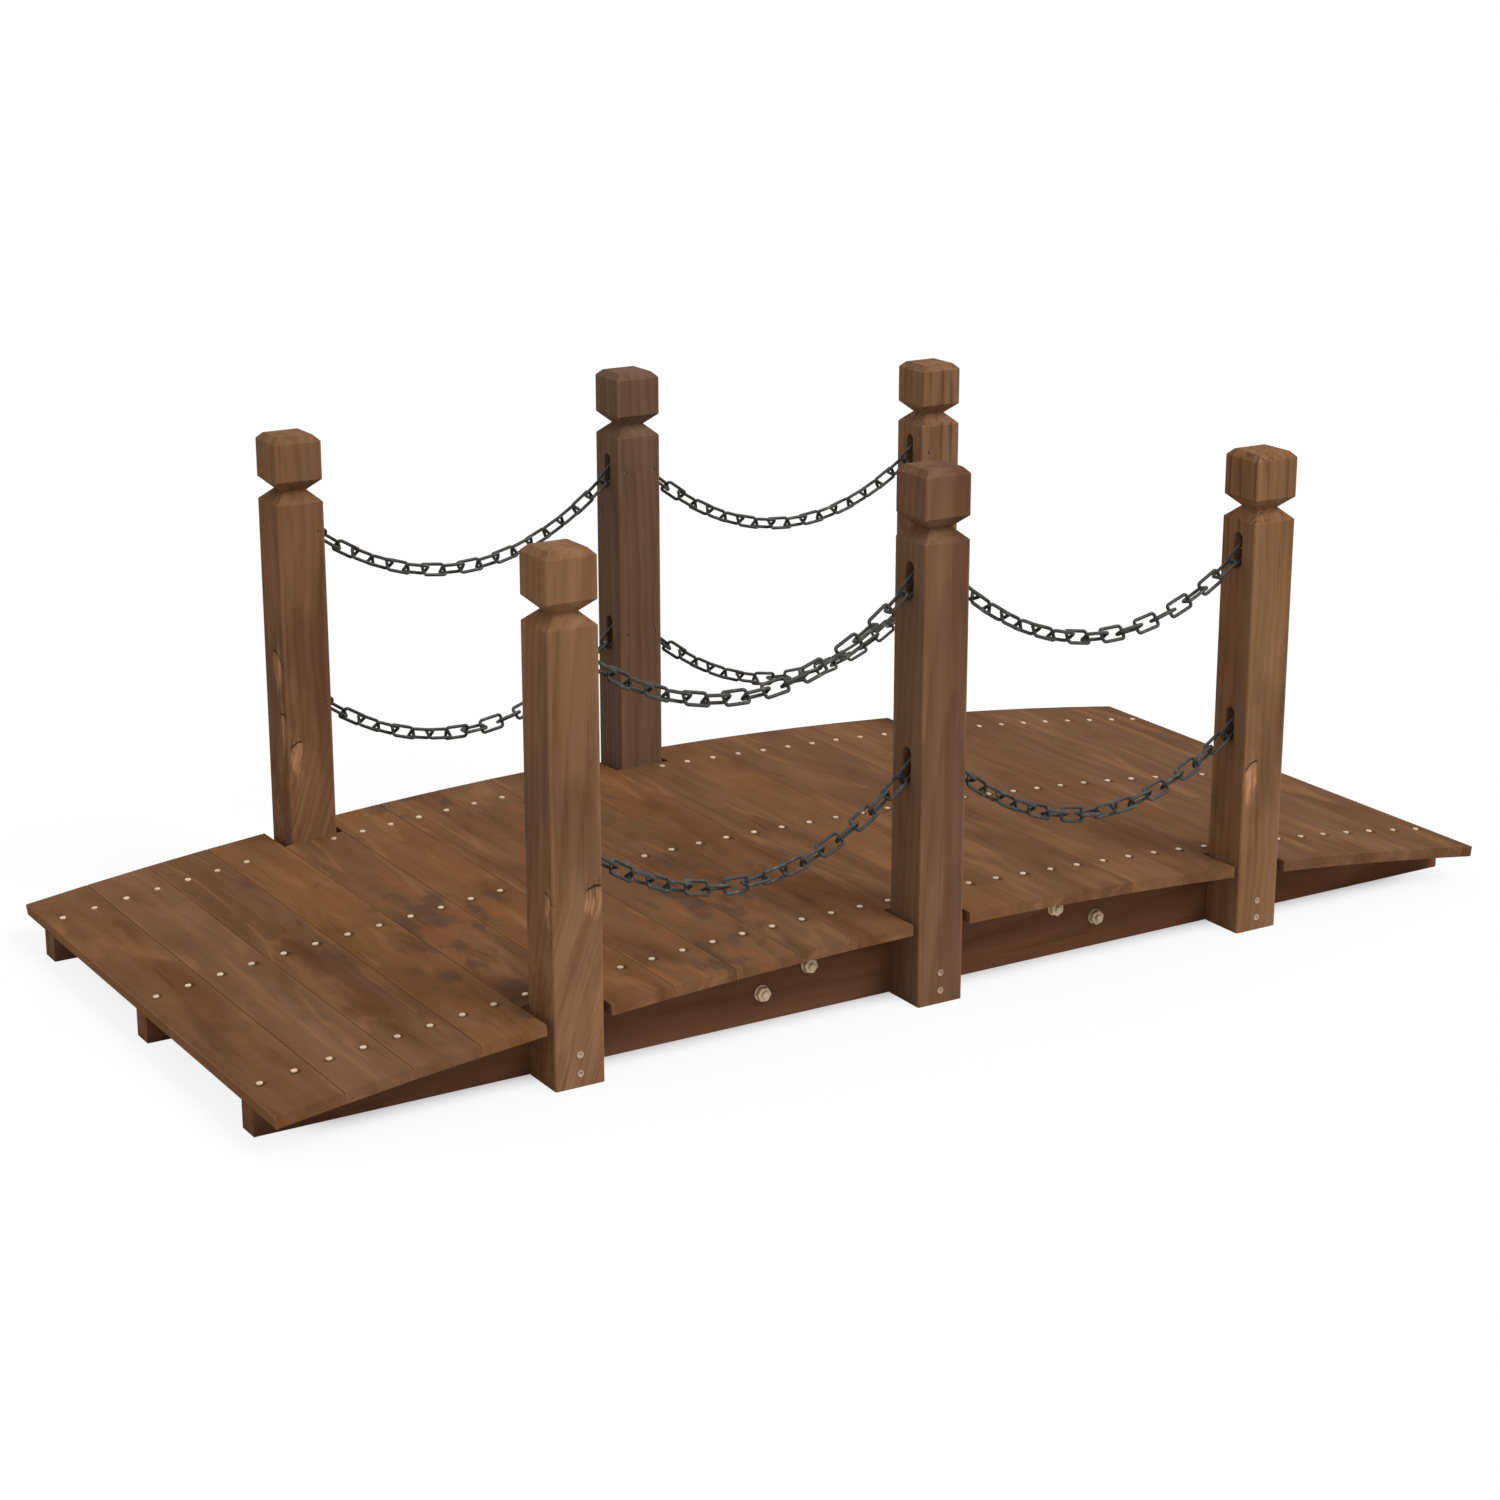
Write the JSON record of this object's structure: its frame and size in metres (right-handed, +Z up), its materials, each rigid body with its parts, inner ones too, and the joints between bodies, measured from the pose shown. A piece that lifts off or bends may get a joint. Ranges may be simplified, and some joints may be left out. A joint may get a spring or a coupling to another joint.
{
  "type": "garden footbridge with chain railings",
  "caption": "Low arched wooden garden footbridge: planks on arched stringers, square posts with grooved heads on both sides, and open-link chains hung between the posts as railings.",
  "frame": {"origin": "on the ground, under the middle of the bridge", "axes": "X along the bridge, Y across it, Z up; millimetres in the source, metres in the record"},
  "size_m": [1.5028, 0.686, 0.57],
  "materials": {
    "deck_wood": "brown stained softwood, satin",
    "post_wood": "brown stained softwood, satin",
    "stringer_wood": "brown stained softwood, satin",
    "chain_steel": "blackened steel wire",
    "pin_steel": "zinc-plated steel"
  },
  "bodies": {
    "root": {"near_stringer_left": "stringer_wood", "near_stringer_right": "stringer_wood", "middle_stringer_left": "stringer_wood", "middle_stringer_right": "stringer_wood", "far_stringer_left": "stringer_wood", "far_stringer_right": "stringer_wood", "near_splice": "stringer_wood", "middle_splice": "stringer_wood", "far_splice": "stringer_wood", "plank_01": "deck_wood", "plank_02": "deck_wood", "plank_03": "deck_wood", "plank_04": "deck_wood", "plank_05": "deck_wood", "plank_06": "deck_wood", "plank_07": "deck_wood", "plank_08": "deck_wood", "plank_09": "deck_wood", "plank_10": "deck_wood", "plank_11": "deck_wood", "plank_12": "deck_wood", "plank_13": "deck_wood", "plank_14": "deck_wood", "plank_15": "deck_wood", "plank_16": "deck_wood", "plank_17": "deck_wood", "plank_18": "deck_wood", "plank_19": "deck_wood", "plank_20": "deck_wood", "plank_21": "deck_wood", "near_left_post": "post_wood", "near_middle_post": "post_wood", "near_right_post": "post_wood", "far_left_post": "post_wood", "far_middle_post": "post_wood", "far_right_post": "post_wood", "near_left_upper_chain": "chain_steel", "near_left_lower_chain": "chain_steel", "near_right_upper_chain": "chain_steel", "near_right_lower_chain": "chain_steel", "far_left_upper_chain": "chain_steel", "far_left_lower_chain": "chain_steel", "far_right_upper_chain": "chain_steel", "far_right_lower_chain": "chain_steel", "chain_pins": "pin_steel"}
  },
  "joints": []
}
